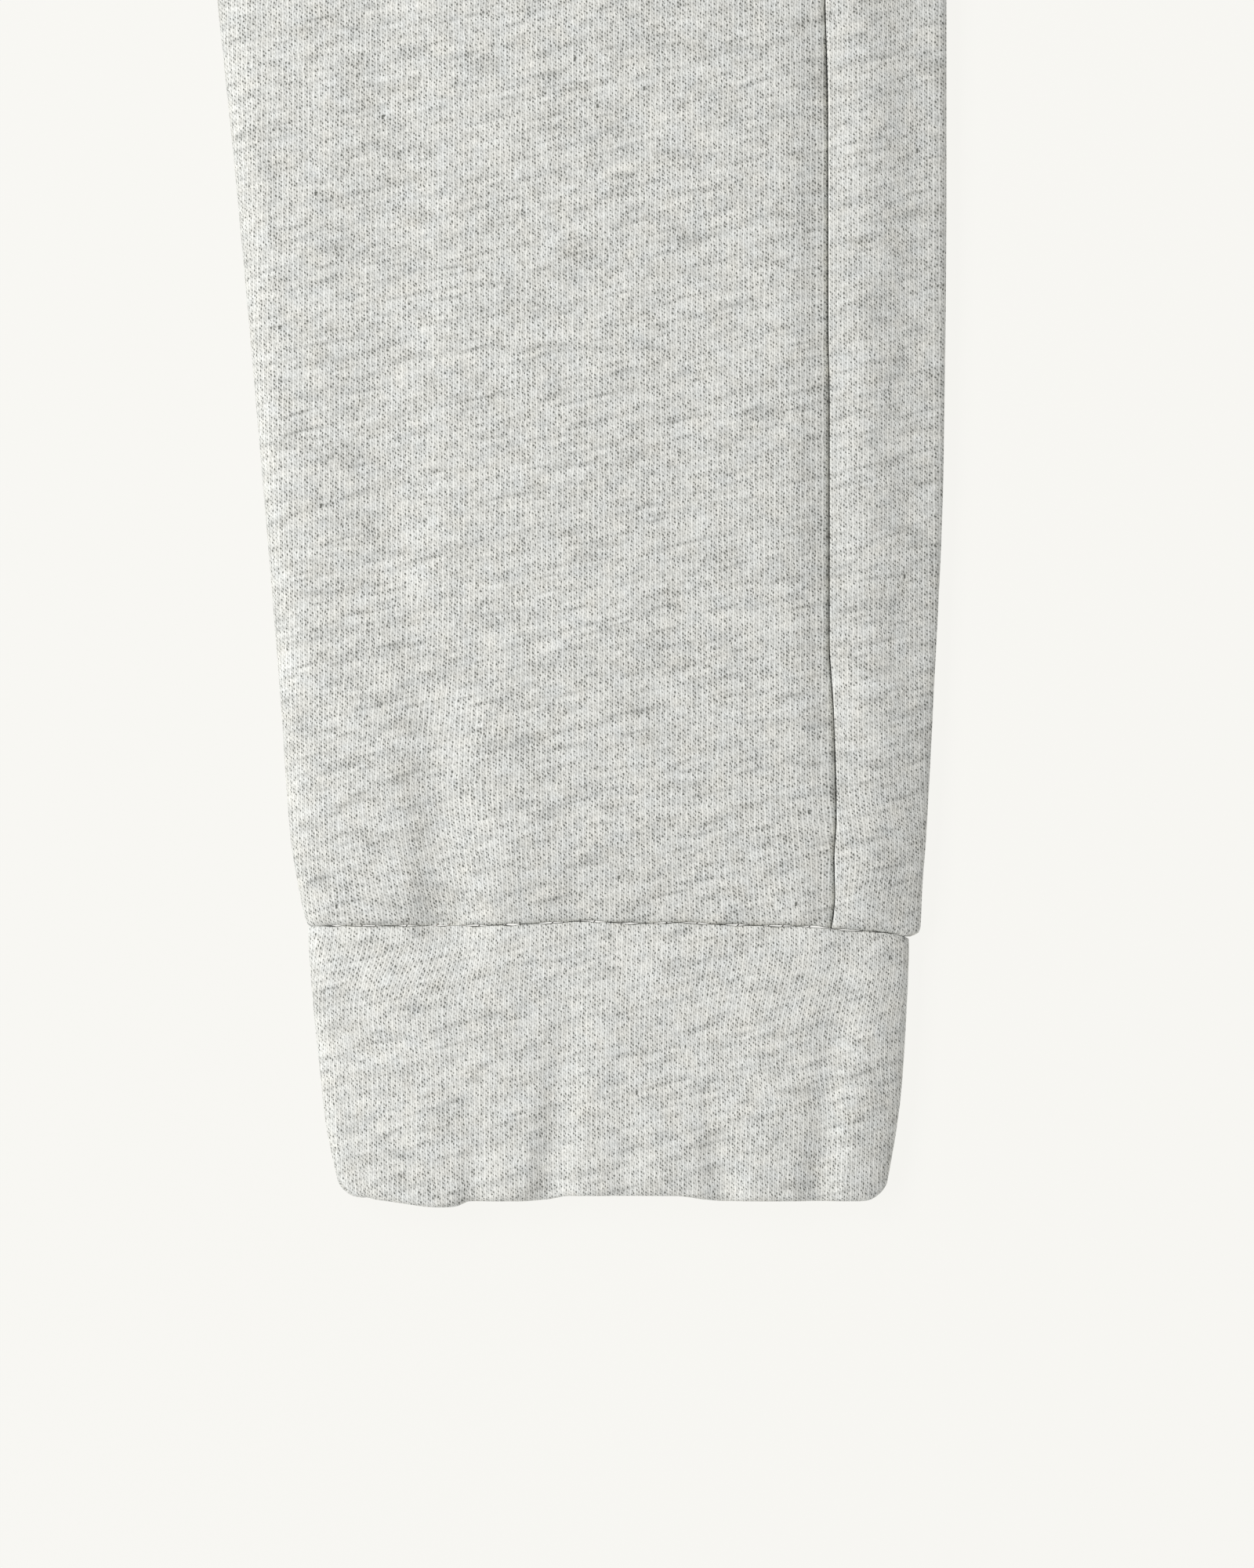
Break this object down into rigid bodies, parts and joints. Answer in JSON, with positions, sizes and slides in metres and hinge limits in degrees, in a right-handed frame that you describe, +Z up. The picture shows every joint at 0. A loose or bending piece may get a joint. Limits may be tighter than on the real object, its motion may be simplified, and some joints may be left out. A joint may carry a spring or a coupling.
{
  "type": "jogger sweatpants laid flat",
  "caption": "Pair of heather grey fleece jogger sweatpants laid flat, with tapered legs, self-fabric cuffs and an elastic waistband.",
  "frame": {"origin": "on the surface that the trousers lie on, under the middle of their outline", "axes": "+Y from the hems towards the waistband, +Z up from the surface through the front of the trousers, +X to the wearer's left"},
  "size_m": [0.4896, 0.9812, 0.0076],
  "materials": {
    "fleece": "light heather grey jersey-faced fleece, matt"
  },
  "bodies": {
    "root": {"front_left": "fleece", "front_right": "fleece", "back_left": "fleece", "back_right": "fleece", "cuff_left": "fleece", "cuff_right": "fleece", "waistband": "fleece"}
  },
  "joints": []
}
